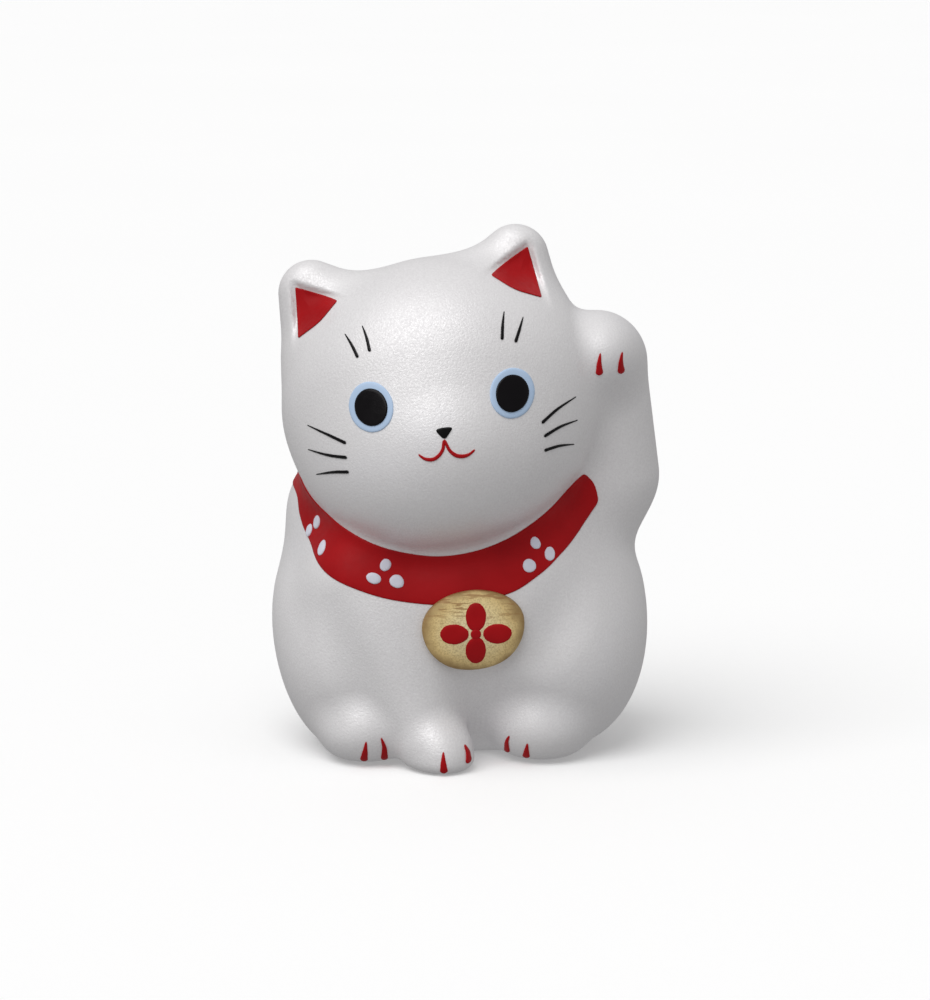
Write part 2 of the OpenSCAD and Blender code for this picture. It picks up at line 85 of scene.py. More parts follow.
# the hollows on both sides of the front leg: upper end and radius, lower end and radius, blend
HOLLOWS = [
    ((2.4, -22, 14), 2.7, (2.9, -18, -0.6), 7, 5),
    ((-19, -18.4, 24), 1.8, (-10.9, -20.2, 7), 3, 4),
    ((19.5, -16, 29), 1.2, (10.1, -21, 16), 1.4, 5),
]
LEG_TOP, LEG_TOP_R = (-13.5, -9.8, 24), 7.2
LEG_FOOT, LEG_FOOT_R = (-5.5, -16.5, 4.2), 4.2
LEG_BLEND = 4
FEET = [
    ((-3.1, -17.4, 1.4), (4.3, 5.4, 4.8), 3),
    ((-13.4, -11.6, 4.2), (6.3, 7.1, 5.3), 2.5),
    ((10.2, -10.7, 4.5), (6.8, 6.9, 5.5), 2.5),
    ((0.3, 21, 8), (6.5, 4.6, 6), 3),
]
FOOT_ROUND = 1.5
WALL = 2.6
OPENING_R = 8.5
AXIS = np.array([-2.2, 0.0])


def smin(a, b, k):
    """The smaller of two distances, blended where they are closer than k."""
    h = np.maximum(k - np.abs(a - b), 0)
    return np.minimum(a, b) - h * h / (4 * max(k, 0.001))


def smax(a, b, k):
    return -smin(-a, -b, k)


def lump(p, centre, radii):
    """Distance to an ellipsoid, close to true near its surface."""
    a = (p - np.array(centre, float)) / np.array(radii, float)
    far = np.sqrt((a * a).sum(1))
    b = a / np.array(radii, float)
    return far * (far - 1) / np.maximum(np.sqrt((b * b).sum(1)), 1e-6)


def limb(p, a, ra, b, rb):
    """Distance to the round cone between two balls."""
    a, b = np.array(a, float), np.array(b, float)
    along = np.linalg.norm(b - a)
    axis = (b - a) / along
    y = (p - a) @ axis
    x = np.sqrt(np.maximum(((p - a) ** 2).sum(1) - y * y, 0))
    s = (ra - rb) / along
    c = math.sqrt(1 - s * s)
    k = c * y - s * x
    side = c * x + s * y - ra
    past_b = np.where(k > along * c, np.hypot(x, y - along) - rb, side)
    return np.where(k < 0, np.hypot(x, y) - ra, past_b)


def in_head(p):
    """Points in the head's own frame, which leans to the cat's right."""
    q = p - HEAD_AT
    c, s = math.cos(HEAD_LEAN), math.sin(HEAD_LEAN)
    return np.stack([c * q[:, 0] + s * q[:, 2], q[:, 1], c * q[:, 2] - s * q[:, 0]], 1)


def head_spot(u, w):
    """x and z of a spot drawn on the head's own upright frame."""
    c, s = math.cos(HEAD_LEAN), math.sin(HEAD_LEAN)
    return (HEAD_AT[0] + c * u - s * w, HEAD_AT[2] + s * u + c * w)


def ear_side(m, i):
    """How far inside one side of the ear's triangle a point is."""
    a, b = EAR_CORNERS[i], EAR_CORNERS[(i + 1) % 3]
    n = np.array([a[1] - b[1], b[0] - a[0]]) / np.linalg.norm(b - a)
    return (m[:, 0] - a[0]) * n[0] + (m[:, 2] - a[1]) * n[1]


def with_ear_hollows(d, q):
    """Presses the ears' hollows into the form; q holds the points in the head's own frame."""
    m = np.stack([np.abs(q[:, 0] - EAR_MID), q[:, 1], q[:, 2]], 1)
    wall = smin(ear_side(m, 0), ear_side(m, 2), EAR_WALLS_SOFT) + EAR_RIM + EAR_WALL * d
    slant = np.clip(EAR_RAMP * (ear_side(m, 1) + EAR_RAMP_START), 0, None)
    depth = smin(slant, EAR_HOLLOW + EAR_FLOOR, EAR_RAMP_SOFT)
    pressed = smin(np.minimum(wall, -q[:, 1] - EAR_BACK), d + depth - EAR_FLOOR, EAR_FLOOR_SOFT)
    in_ear = (q[:, 2] > EAR_UNDER) & (ear_side(m, 1) > -EAR_BEYOND)
    return np.where(in_ear, smax(d, pressed, EAR_LIP_SOFT), d)


def figure(p):
    """Distance from points to the figure's surface, negative inside."""
    d = lump(p, *TORSO[0][:2])
    for centre, radii, blend in TORSO[1:]:
        d = smin(d, lump(p, centre, radii), blend)
    for top, top_r, foot, foot_r, blend in HOLLOWS:
        d = smax(d, -limb(p, top, top_r, foot, foot_r), blend)
    arm = smin(limb(p, ELBOW, ELBOW_R, WRIST, WRIST_R), lump(p, *RAISED_PAW[:2]), RAISED_PAW[2])
    d = smin(d, arm, ARM_BLEND)
    q = in_head(p)
    head = lump(q, *HEAD[0][:2])
    for centre, radii, blend in HEAD[1:]:
        head = smin(head, lump(q, centre, radii), blend)
    m = np.stack([np.abs(q[:, 0] - EAR_MID), (q[:, 1] - EAR_PLANE) / EAR_FLATNESS, q[:, 2]], 1)
    ear = limb(m, EAR_ROOT, EAR_ROOT_R, EAR_TIP, EAR_TIP_R) * math.sqrt(EAR_FLATNESS)
    head = smin(head, ear, EAR_BLEND)
    d = with_ear_hollows(smin(d, head, NECK_BLEND), q)
    d = smin(d, limb(p, LEG_TOP, LEG_TOP_R, LEG_FOOT, LEG_FOOT_R), LEG_BLEND)
    for centre, radii, blend in FEET:
        d = smin(d, lump(p, centre, radii), blend)
    return smax(d, -p[:, 2], FOOT_ROUND)


def slope(p, step=0.04):
    """Unit normals of the form at points."""
    n = np.zeros_like(p)
    for k in range(3):
        e = np.zeros(3)
        e[k] = step
        n[:, k] = figure(p + e) - figure(p - e)
    return n / np.maximum(np.linalg.norm(n, axis=1), 1e-9)[:, None]


SETTLE_TURNS, SETTLE_SHARE = 40, 0.9
FRONT_START, SIDE_START = -34.0, 38


def settle(p, way, height):
    """Moves points along lines until the surface is the given height under them."""
    p = np.array(p, float)
    for _ in range(SETTLE_TURNS):
        p += SETTLE_SHARE * (figure(p) - height)[:, None] * way
    return p


def from_front(spots, height):
    """Spots are x and z, and are laid on the figure from the front."""
    spots = np.asarray(spots, float)
    start = np.stack([spots[:, 0], np.full(len(spots), FRONT_START), spots[:, 1]], 1)
    return settle(start, np.array([[0.0, 1.0, 0.0]]), height)


def from_side(spots, height):
    """Spots are an angle round the neck, in degrees, and a height."""
    spots = np.asarray(spots, float)
    a = np.radians(spots[:, 0])
    way = np.stack([np.cos(a), np.sin(a), np.zeros(len(a))], 1)
    start = np.stack([np.full(len(a), AXIS[0]), np.full(len(a), AXIS[1]), spots[:, 1]], 1)
    return settle(start + SIDE_START * way, -way, height)


# ---------------------------------------------------------------- meshes
# the block of space that is sampled for the skin, and how far from the skin the samples are kept
GRID_LOW, GRID_HIGH = np.array([-29.0, -28.5, -2.5]), np.array([29.0, 28.5, 74.0])
GRID_BAND = 3
SKIN_TURNS = 4
SKIN_CELL, LINING_CELL = 0.45, 0.9
SEAM_Y = 0.0
REACH = 60
OPENING_LOW, OPENING_HIGH = -5, WALL + 2
DRUM_SIDES = 160
# a face whose own direction agrees with the form this little is a cut face, and stays flat
CUT_FACE = 0.75


def put_in_scene(name, mesh):
    piece = bpy.data.objects.new(name, mesh)
    bpy.context.scene.collection.objects.link(piece)
    return piece


def solid(name, points, faces):
    """A mesh object from points in millimetres."""
    mesh = bpy.data.meshes.new(name)
    mesh.from_pydata((np.asarray(points) * MM).tolist(), [], faces)
    return put_in_scene(name, mesh)


def surface_at(level, cell):
    """Points and four-sided faces of the form where its distance is level."""
    counts = np.ceil((GRID_HIGH - GRID_LOW) / cell).astype(int)
    axes = [GRID_LOW[k] + cell * np.arange(counts[k]) for k in range(3)]
    values = np.empty(counts, np.float32)
    for i, x in enumerate(axes[0]):
        y, z = np.meshgrid(axes[1], axes[2], indexing="ij")
        slab = np.stack([np.full(y.size, x), y.ravel(), z.ravel()], 1)
        values[i] = (figure(slab) - level).reshape(y.shape)
    grid = openvdb.FloatGrid(float(GRID_BAND))
    grid.copyFromArray(np.clip(values, -GRID_BAND, GRID_BAND))
    points, quads = grid.convertToQuads(isovalue=0.0)
    points = GRID_LOW + cell * points.astype(float)
    for _ in range(SKIN_TURNS):
        points -= (figure(points) - level)[:, None] * slope(points)
    return points, quads.tolist()


def ring(middle, radius, sides):
    turns = [2 * math.pi * i / sides for i in range(sides)]
    return [(middle[0] + radius * math.cos(t), middle[1] + radius * math.sin(t)) for t in turns]


def box_solid(name, low, high):
    points = [(x, y, z) for x in (low[0], high[0]) for y in (low[1], high[1]) for z in (low[2], high[2])]
    faces = [(0, 1, 3, 2), (4, 6, 7, 5), (0, 4, 5, 1), (2, 3, 7, 6), (0, 2, 6, 4), (1, 5, 7, 3)]
    return solid(name, points, faces)


def drum_solid(name, middle, radius, low, high):
    n = DRUM_SIDES
    rim = ring(middle, radius, n)
    points = [(x, y, low) for x, y in rim] + [(x, y, high) for x, y in rim]
    faces = [tuple(range(n))[::-1], tuple(range(n, 2 * n))]
    faces += [(i, (i + 1) % n, n + (i + 1) % n, n + i) for i in range(n)]
    return solid(name, points, faces)


def cut(piece, tool, how):
    """Applies one boolean to the piece's mesh."""
    change = piece.modifiers.new("cut", "BOOLEAN")
    change.operation = how
    change.solver = "MANIFOLD"
    change.object = tool
    view = bpy.context.evaluated_depsgraph_get()
    result = bpy.data.meshes.new_from_object(piece.evaluated_get(view))
    piece.modifiers.clear()
    old, piece.data = piece.data, result
    bpy.data.meshes.remove(old)


def remove(*things):
    for thing in things:
        mesh = thing.data
        bpy.data.objects.remove(thing)
        bpy.data.meshes.remove(mesh)


def true_normals(piece):
    """Shades the skin by the form's own normals, so that no seam shows, and keeps cut faces flat."""
    mesh = piece.data
    count = len(mesh.vertices)
    points = np.empty(count * 3)
    mesh.vertices.foreach_get("co", points)
    smooth = slope(points.reshape(-1, 3) / MM)
    corner = np.empty(len(mesh.loops), int)
    mesh.loops.foreach_get("vertex_index", corner)
    sizes = np.empty(len(mesh.polygons), int)
    mesh.polygons.foreach_get("loop_total", sizes)
    flat = np.empty(len(mesh.polygons) * 3)
    mesh.polygons.foreach_get("normal", flat)
    flat = np.repeat(flat.reshape(-1, 3), sizes, axis=0)
    own = smooth[corner]
    agree = (own * flat).sum(1)
    own = np.where((agree < 0)[:, None], -own, own)
    mesh.shade_smooth()
    on_skin = (np.abs(agree) > CUT_FACE)[:, None]
    mesh.normals_split_custom_set(np.where(on_skin, own, flat).tolist())


def assign(piece, node):
    """Rides a piece on the body in the place of its CAD node."""
    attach(piece, BODY_NAME)
    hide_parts(node)


def make_shells(material):
    outside, quads = surface_at(0.0, SKIN_CELL)
    inside, inner_quads = surface_at(-WALL, LINING_CELL)
    whole = solid("whole", outside, quads)
    hollow = solid("hollow", inside, inner_quads)
    opening = drum_solid("opening", AXIS, OPENING_R, OPENING_LOW, OPENING_HIGH)
    cut(whole, hollow, "DIFFERENCE")
    cut(whole, opening, "DIFFERENCE")
    for name, low, high in (("front", -REACH, SEAM_Y), ("back", SEAM_Y, REACH)):
        half = box_solid("half", (-REACH, low, -REACH), (REACH, high, 2 * REACH))
        shell = put_in_scene(name + "_shell_skin", whole.data.copy())
        cut(shell, half, "INTERSECT")
        remove(half)
        shell.data.materials.clear()
        shell.data.materials.append(material)
        true_normals(shell)
        assign(shell, name + "_shell")
    remove(whole, hollow, opening)


# ---------------------------------------------------------------- painted and applied work
# a coat starts a little under the clay's skin, so that no gap shows at its edge
BEDDED = -0.08
KEY, COAT, BETWEEN = 0.01, 0.16, 0.01
FIRST_COAT = KEY + COAT


def smooth_line(points, steps):
    """A smooth curve through a list of points; each may hold any count of numbers."""
    points = np.asarray(points, float)
    last = len(points) - 1
    line = []
    for i in range(steps * last + 1):
        k = min(i // steps, last - 1)
        t = i / steps - k
        a, b, c, d = (points[min(max(k + j, 0), last)] for j in (-1, 0, 1, 2))
        line.append(0.5 * (2 * b + t * (c - a) + t * t * (2 * a - 5 * b + 4 * c - d)
                           + t ** 3 * (3 * b - a - 3 * c + d)))
    return np.array(line)


def round_off(outline, turns=3):
    """Cuts the corners of a closed outline again and again, as a brush rounds them."""
    outline = np.asarray(outline, float)
    for _ in range(turns):
        ahead = np.roll(outline, -1, axis=0)
        outline = np.stack([0.75 * outline + 0.25 * ahead, 0.25 * outline + 0.75 * ahead], 1).reshape(-1, 2)
    return outline


def wobble(t, seed, size):
    """A small smooth unevenness along a hand-drawn line."""
    rng = np.random.default_rng(seed)
    total = np.zeros_like(t)
    for turns in (3, 7, 13, 23):
        total += rng.uniform(0.4, 1) / turns ** 0.5 * np.sin(2 * math.pi * (turns * t + rng.uniform()))
    return size * total


def strip_mesh(rows, heights, place):
    """A closed coat over rows of spots, with its own height over the clay at each."""
    rows = np.asarray(rows, float)
    n, m = rows.shape[:2]
    spots = rows.reshape(-1, 2)
    top = place(spots, np.asarray(heights, float).ravel())
    bottom = place(spots, np.full(n * m, BEDDED))
    count = n * m
    faces = []
    for r in range(n - 1):
        for c in range(m - 1):
            a, b = r * m + c, (r + 1) * m + c
            faces += [(a, b, b + 1, a + 1), (count + a, count + a + 1, count + b + 1, count + b)]
        a, b = r * m, (r + 1) * m
        e, f = a + m - 1, b + m - 1
        faces += [(a, count + a, count + b, b), (e, f, count + f, count + e)]
    for c in range(m - 1):
        e = (n - 1) * m + c
        faces += [(c, c + 1, count + c + 1, count + c), (e, count + e, count + e + 1, e + 1)]
    return np.vstack([top, bottom]), faces


def patch_mesh(outline, shares, height, bottom_height, place):
    """A closed coat inside an outline. height gives each spot's height from its share of the way out."""
    outline = np.asarray(outline, float)
    n = len(outline)
    middle = outline.mean(0)
    spots = [middle[None]] + [middle + t * (outline - middle) for t in shares]
    share_of = np.concatenate([[0.0]] + [np.full(n, t) for t in shares])
    spots = np.vstack(spots)
    top = place(spots, height(spots, share_of))
    bottom = place(spots, np.full(len(spots), float(bottom_height)))
    count = len(spots)
    faces = []
    for i in range(n):
        j = (i + 1) % n
        faces += [(0, 1 + i, 1 + j), (count, count + 1 + j, count + 1 + i)]
        for r in range(len(shares) - 1):
            a, b = 1 + r * n + i, 1 + r * n + j
            faces += [(a, a + n, b + n, b), (count + a, count + b, count + b + n, count + a + n)]
        a, b = 1 + (len(shares) - 1) * n + i, 1 + (len(shares) - 1) * n + j
        faces.append((a, count + a, count + b, b))
    return np.vstack([top, bottom]), faces


def joined(parts):
    """Puts several closed coats into one list of points and faces."""
    points, faces, start = [], [], 0
    for some, sides in parts:
        points.append(some)
        faces += [tuple(start + i for i in side) for side in sides]
        start += len(some)
    return np.vstack(points), faces


def painted(node, parts, material):
    """Makes one painted piece, in the place of its CAD node."""
    points, faces = joined(parts)
    piece = solid(node + "_paint", points, faces)
    piece.data.materials.append(material)
    piece.data.shade_smooth()
    assign(piece, node)


# how far out the rings of a patch lie, as shares of the way from its middle to its outline
SHARES = (0.25, 0.5, 0.7, 0.82, 0.9, 0.95, 0.98, 1.0)


def coat_height(low, thick, edge_from):
    """A level coat whose rim rounds down to the clay from a share of the way out."""
    def height(spots, share):
        out = np.clip((share - edge_from) / (1 - edge_from), 0, 1)
        return low + thick * np.sqrt(np.clip(1 - out ** 2, 0, 1))
    return height


def turned(middle, x, z, turn):
    """Spots given from a middle, turned about it."""
    c, s = math.cos(turn), math.sin(turn)
    return np.stack([middle[0] + x * c - z * s, middle[1] + x * s + z * c], 1)


def oval(middle, half_w, half_h, turn=0.0, sides=96):
    t = 2 * math.pi * np.arange(sides) / sides
    return turned(middle, half_w * np.cos(t), half_h * np.sin(t), turn)


def around(outline):
    """How far round an outline each of its spots is, from 0 to 1."""
    return np.arange(len(outline)) / len(outline)


STROKE_STEP, STROKE_FEWEST = 0.12, 12
# a stroke narrower than this half width carries less paint, down to the given share
FULL_STROKE, THIN_SHARE = 0.25, 0.35
STROKE_SHARES = (-1, -0.93, -0.75, -0.4, 0, 0.4, 0.75, 0.93, 1)


def stroke(points, seed):
    """A brush stroke through (x, z, half width): its ends are round and its middle stands up."""
    rough = smooth_line(points, 24)
    run = np.concatenate([[0], np.cumsum(np.hypot(*np.diff(rough[:, :2], axis=0).T))])
    count = max(int(run[-1] / STROKE_STEP), STROKE_FEWEST)
    at = np.linspace(0, run[-1], count)
    line = np.stack([np.interp(at, run, rough[:, k]) for k in range(3)], 1)
    ahead = np.gradient(line[:, :2], axis=0)
    ahead /= np.linalg.norm(ahead, axis=1)[:, None]
    across = np.stack([-ahead[:, 1], ahead[:, 0]], 1)
    t = at / run[-1]
    half = line[:, 2] * (1 + wobble(t, seed, 0.05))
    for gap in (at, run[-1] - at):
        near = np.clip(gap / np.maximum(half, 0.02), 0, 1)
        half = half * np.sqrt(np.clip(1 - (1 - near) ** 2, 0.004, 1))
    shares = np.array(STROKE_SHARES)
    rows = line[:, None, :2] + shares[None, :, None] * half[:, None, None] * across[:, None, :]
    bead = np.sqrt(np.clip(1 - np.abs(shares) ** 3, 0, 1))
    thick = COAT * np.clip(half / FULL_STROKE, THIN_SHARE, 1)
    heights = KEY + thick[:, None] * bead[None, :]
    return strip_mesh(rows, heights, from_front)


def on_head(points):
    """Points drawn in the head's own frame, moved to the figure's; the rest of each stays."""
    return [(*head_spot(p[0], p[1]), *p[2:]) for p in points]


# ---------------------------------------------------------------- materials
def new_material(name):
    """A material with its shader and a helper that adds linked nodes."""
    material = bpy.data.materials.new(name)
    material.use_nodes = True
    tree = material.node_tree
    shader = next(n for n in tree.nodes if n.type == "BSDF_PRINCIPLED")

    def add(kind, inputs=None, **settings):
        node = tree.nodes.new(kind)
        for key, value in settings.items():
            setattr(node, key, value)
        for key, value in (inputs or {}).items():
            if isinstance(value, bpy.types.NodeSocket):
                tree.links.new(value, node.inputs[key])
            else:
                node.inputs[key].default_value = value
        return node

    def feed(socket, value):
        if isinstance(value, bpy.types.NodeSocket):
            tree.links.new(value, shader.inputs[socket])
        else:
            shader.inputs[socket].default_value = value

    return material, add, feed


def place_of(add, scale=(1, 1, 1), offset=(0, 0, 0)):
    """The place on the object in metres, scaled and then moved."""
    where = add("ShaderNodeTexCoord").outputs["Object"]
    moved = add("ShaderNodeMapping", {"Vector": where, "Scale": scale, "Location": offset})
    return moved.outputs["Vector"]


def noise(add, where, scale, detail=3.0, rough=0.5):
    node = add("ShaderNodeTexNoise", {"Vector": where, "Scale": scale, "Detail": detail, "Roughness": rough})
    return node.outputs["Fac"]


def ramp(add, fac, stops):
    """A colour ramp; each stop is a place and the colour there."""
    node = add("ShaderNodeValToRGB", {"Fac": fac})
    marks = node.color_ramp.elements
    while len(marks) < len(stops):
        marks.new(0.5)
    for mark, (at, colour) in zip(marks, stops):
        mark.position = at
        mark.color = (*colour, 1)
    return node.outputs["Color"]


def greys(add, fac, *stops):
    """A ramp of plain values: each stop is a place and the value there."""
    return ramp(add, fac, [(at, (value,) * 3) for at, value in stops])


def calculate(add, operation, *values):
    node = add("ShaderNodeMath", dict(enumerate(values)), operation=operation)
    return node.outputs[0]


def blend_colours(add, fac, a, b):
    node = add("ShaderNodeMix", data_type="RGBA")
    for socket, value in ((node.inputs[0], fac), (node.inputs[6], a), (node.inputs[7], b)):
        if isinstance(value, bpy.types.NodeSocket):
            node.id_data.links.new(value, socket)
        else:
            socket.default_value = value if isinstance(value, float) else (*value, 1)
    return node.outputs[2]


def bumps(add, layers):
    """Stacks bump layers: (height socket, strength, depth in metres)."""
    normal = None
    for height, strength, depth in layers:
        inputs = {"Height": height, "Strength": strength, "Distance": depth}
        if normal is not None:
            inputs["Normal"] = normal
        normal = add("ShaderNodeBump", inputs).outputs["Normal"]
    return normal


def pearl_slip():
    """Satin white slip with a pearly grain, faint clouding, a few brown specks and fine lighter flecks
    painted in as glints.
    """
    material, add, feed = new_material("pearl_slip")
    where = place_of(add)
    cloud = noise(add, where, 45, 4)
    tint = ramp(add, cloud, [
        (0.3, (0.785, 0.765, 0.775)), (0.55, (0.825, 0.807, 0.815)), (0.75, (0.81, 0.795, 0.815)),
    ])
    grain = noise(add, where, 3200, 2, 0.6)
    # fine lighter flecks in the colour: painted glints standing for the pearl's sparkle
    painted_glint = greys(add, grain, (0.36, 0), (0.66, 0.42))
    tint = blend_colours(add, painted_glint, tint, (0.93, 0.92, 0.925))
    cells = add("ShaderNodeTexVoronoi", {"Vector": where, "Scale": 130.0, "Randomness": 1.0})
    speck = calculate(add, "LESS_THAN", cells.outputs["Distance"], 0.022)
    chance = add("ShaderNodeSeparateColor", {"Color": cells.outputs["Color"]}).outputs["Red"]
    rare = calculate(add, "LESS_THAN", chance, 0.12)
    both = calculate(add, "MULTIPLY", speck, rare)
    feed("Base Color", blend_colours(add, both, tint, (0.30, 0.25, 0.21)))
    feed("Roughness", greys(add, noise(add, where, 3400, 2, 0.6), (0.35, 0.28), (0.62, 0.54)))
    feed("Metallic", 0.16)
    feed("Specular IOR Level", 0.42)
    feed("Normal", bumps(add, [
        (noise(add, where, 110, 3), 0.4, 0.00014),
        (noise(add, where, 850, 3), 0.25, 0.00004),
        (noise(add, where, 3400, 3, 0.6), 1.0, 0.00005),
        (grain, 0.8, 0.00003),
    ]))
    return material


def enamel(name, dark, main, light, rough=(0.42, 0.54), shine=0.22):
    """Brushed enamel: the colour pools a little, and the brush leaves fine ridges."""
    material, add, feed = new_material(name)
    where = place_of(add)
    pool = noise(add, where, 160, 3)
    feed("Base Color", ramp(add, pool, [(0.3, dark), (0.5, main), (0.75, light)]))
    feed("Roughness", greys(add, noise(add, where, 1300, 2), (0.3, rough[0]), (0.7, rough[1])))
    feed("Specular IOR Level", shine)
    feed("Normal", bumps(add, [
        (noise(add, where, 1400, 3), 0.4, 0.00003),
        (noise(add, where, 3600, 2), 0.35, 0.000012),
    ]))
    return material


def gold_paint(middle, half_w, half_h):
    """Dabbed gold powder: pale in the middle, brown at the rim (partly the paint's own, partly painted
    shade), with a few rusty strokes above.
    """
    material, add, feed = new_material("gold_paint")
    where = place_of(add)
    shift = (-middle[0] / half_w, 0, -middle[2] / half_h)
    disc = place_of(add, (1 / half_w, 0, 1 / half_h), shift)
    out = add("ShaderNodeVectorMath", {0: disc}, operation="LENGTH").outputs["Value"]
    grain = noise(add, where, 4200, 3, 0.7)
    patches = noise(add, where, 320, 4)
    uneven = calculate(add, "MULTIPLY_ADD", patches, 0.4, -0.2)
    # the colour darkens from the middle out to the rim: partly the paint's own brown edge, partly painted
    # shade where the rounded rim turns away and meets the chest
    base = ramp(add, calculate(add, "ADD", out, uneven), [
        (0.25, (0.97, 0.84, 0.52)), (0.62, (0.95, 0.77, 0.40)),
        (0.84, (0.80, 0.60, 0.27)), (1.0, (0.36, 0.23, 0.09)),
    ])
    flecks = greys(add, grain, (0.36, 0.55), (0.56, 0))
    speckled = blend_colours(add, flecks, base, (0.42, 0.28, 0.12))
    strokes = noise(add, place_of(add, (0.45, 1, 3.4), (0.4, 0, 0.2)), 900, 2, 0.4)
    height = add("ShaderNodeSeparateXYZ", {"Vector": disc}).outputs["Z"]
    upper = add("ShaderNodeMapRange", {"Value": height, "From Min": 0.1, "From Max": 0.6}).outputs["Result"]
    rusty = calculate(add, "MULTIPLY", greys(add, strokes, (0.54, 0), (0.62, 0.75)), upper)
    feed("Base Color", blend_colours(add, rusty, speckled, (0.34, 0.17, 0.06)))
    feed("Metallic", 0.1)
    feed("Specular IOR Level", 0.35)
    feed("Roughness", greys(add, grain, (0.35, 0.46), (0.65, 0.6)))
    feed("Normal", bumps(add, [(grain, 0.5, 0.00003), (patches, 0.3, 0.00008)]))
    return material


def bare_clay():
    """Dry unglazed clay with a sandy grain."""
    material, add, feed = new_material("bare_clay")
    where = place_of(add)
    feed("Base Color", ramp(add, noise(add, where, 300, 5, 0.65), [
        (0.3, (0.52, 0.45, 0.37)), (0.55, (0.62, 0.56, 0.48)), (0.8, (0.70, 0.65, 0.58)),
    ]))
    feed("Roughness", greys(add, noise(add, where, 900, 3), (0.3, 0.8), (0.7, 0.95)))
    feed("Normal", bumps(add, [
        (noise(add, where, 260, 3), 0.5, 0.00015), (noise(add, where, 2200, 4, 0.7), 0.6, 0.00005),
    ]))
    return material


# ---------------------------------------------------------------- the painted features
# the face is drawn in the head's own frame; a third number is the stroke's half width there
NOSE = [(0.36, -2.78), (1.15, -2), (1.68, -1.4), (1, -1.22), (0, -1.18), (-0.66, -1.32), (-0.3, -2)]
MOUTH = [
    (-3.35, -4.05, 0.12), (-2.6, -4.75, 0.2), (-1.6, -4.97, 0.25), (-0.75, -4.6, 0.24),
    (-0.1, -3.9, 0.22), (0.28, -2.85, 0.18), (0.7, -4.1, 0.22), (1.35, -4.92, 0.25),
    (2.25, -5.26, 0.25), (3.15, -5.18, 0.2), (3.98, -4.72, 0.12),
]
WHISKER_W = 0.45
# half widths at the outer end, the middle and the inner end
WHISKER_HALVES = (0.3 * WHISKER_W / 2, 0.85 * WHISKER_W / 2, WHISKER_W / 2)
# each whisker from its fine outer end to its broad inner end
WHISKERS = {
    "left": [
        [(18.2, -1.6), (15.5, -2.4), (13.1, -3.6)],
        [(17.9, -4.75), (15.5, -4.8), (13.1, -5.4)],
        [(16.9, -7.85), (14.9, -7.3), (12.8, -7.25)],
    ],
    "right": [
        [(-17.6, 0.85), (-14.9, -0.45), (-12.6, -1.65)],
        [(-18.1, -2.4), (-15.4, -3.1), (-12.8, -3.5)],
        [(-17.6, -5.8), (-15.15, -5.4), (-12.9, -5.4)],
    ],
}
BROWS = {
    "left": [[(10.75, 11.4), (10.25, 9.75), (9.85, 8)], [(13.1, 10.15), (12.3, 8.7), (11.5, 7.3)]],
    "right": [[(-10.5, 12), (-9.75, 10.5), (-9.2, 8.9)], [(-8, 12.75), (-7.65, 11.2), (-7.5, 9.45)]],
}
# each claw from its fine tip through its middle to its broad foot, as x and z, and half its width
# there; the tip's half width is the same for all
CLAW_TIP = 0.1
CLAWS = {
    "raised_paw_claws": [
        ((18, 54.9), (17.85, 53.5), (17.9, 51.9), 0.5),
        ((21, 54.9), (20.8, 53.5), (20.9, 51.9), 0.5),
    ],
    "front_paw_claws": [
        ((-2.9, 3.3), (-2.9, 2), (-2.8, 0.35), 0.52),
        ((-0.1, 3.8), (0.35, 2.8), (0.5, 1.3), 0.4),
    ],
    "left_foot_claws": [
        ((5.9, 4), (5.55, 3), (5.6, 1.2), 0.37),
        ((8.3, 3.2), (8.2, 2.1), (8.15, 0.75), 0.5),
    ],
    "right_foot_claws": [
        ((-13.2, 3.8), (-13.35, 2.4), (-13.6, 0.65), 0.52),
        ((-11.2, 4.3), (-10.8, 2.9), (-10.8, 0.7), 0.46),
    ],
}
# angle round the neck, lower edge, upper edge
COLLAR = [
    (-19.8, 34.9, 36.2), (-20.3, 34, 37.3), (-22.5, 32.9, 38.1), (-26, 31.7, 37.8),
    (-33, 30, 36.6), (-42, 28, 34.4), (-53, 25.7, 32.3), (-65, 23.7, 30.5),
    (-80, 22.8, 29.1), (-97, 22.3, 28.6), (-115, 23.1, 29.4), (-132, 25.1, 31.5),
    (-147, 27.6, 33.5), (-157, 29.1, 35), (-163, 30.2, 36), (-168, 31.9, 36.7),
    (-174, 34.2, 37.6), (-184, 35.2, 38.9), (-205, 35.6, 40.4), (-228, 35.6, 41.1),
    (-250, 35.6, 41.4), (-270, 35.6, 41.5), (-290, 35.6, 41.5), (-310, 35.6, 41.5),
    (-322, 36.3, 40.7), (-326, 37.8, 39.2),
]
HALF_SHARES = [0.25, 0.5, 0.7, 0.88, 0.95, 0.985, 1]
COLLAR_SHARES = np.array([-t for t in HALF_SHARES[::-1]] + [0] + HALF_SHARES)
COLLAR_END_ROWS = 6
# white dots: angle, height, half width, half height, turn
DOTS = [
    (-155.2, 31.7, 0.75, 0.92, 0), (-159.2, 30.4, 0.58, 0.85, 15), (-144.4, 28.9, 0.66, 1.02, 25),
    (-116.4, 27.4, 0.64, 0.8, 5), (-119.7, 25.7, 0.9, 0.64, -35), (-111.4, 25.3, 0.98, 0.76, -40),
    (-50.8, 29.9, 0.7, 0.8, -10), (-46.1, 28.4, 0.64, 0.95, -30), (-55.8, 27.1, 0.93, 0.8, 40),
    (-200, 38.9, 0.65, 0.82, 10), (-203.5, 37.2, 0.9, 0.68, -35), (-195.5, 37, 0.92, 0.76, -40),
    (-245, 39.6, 0.68, 0.82, -10), (-249, 37.8, 0.9, 0.68, -35), (-241, 37.7, 0.92, 0.74, 30),
    (-290, 39.7, 0.68, 0.82, 10), (-294, 37.9, 0.9, 0.7, -25), (-286, 37.7, 0.9, 0.74, 35),
]
NECK_R = 18.5
DOT_SIDES, DOT_THICK, DOT_EDGE = 48, 0.22, 0.5
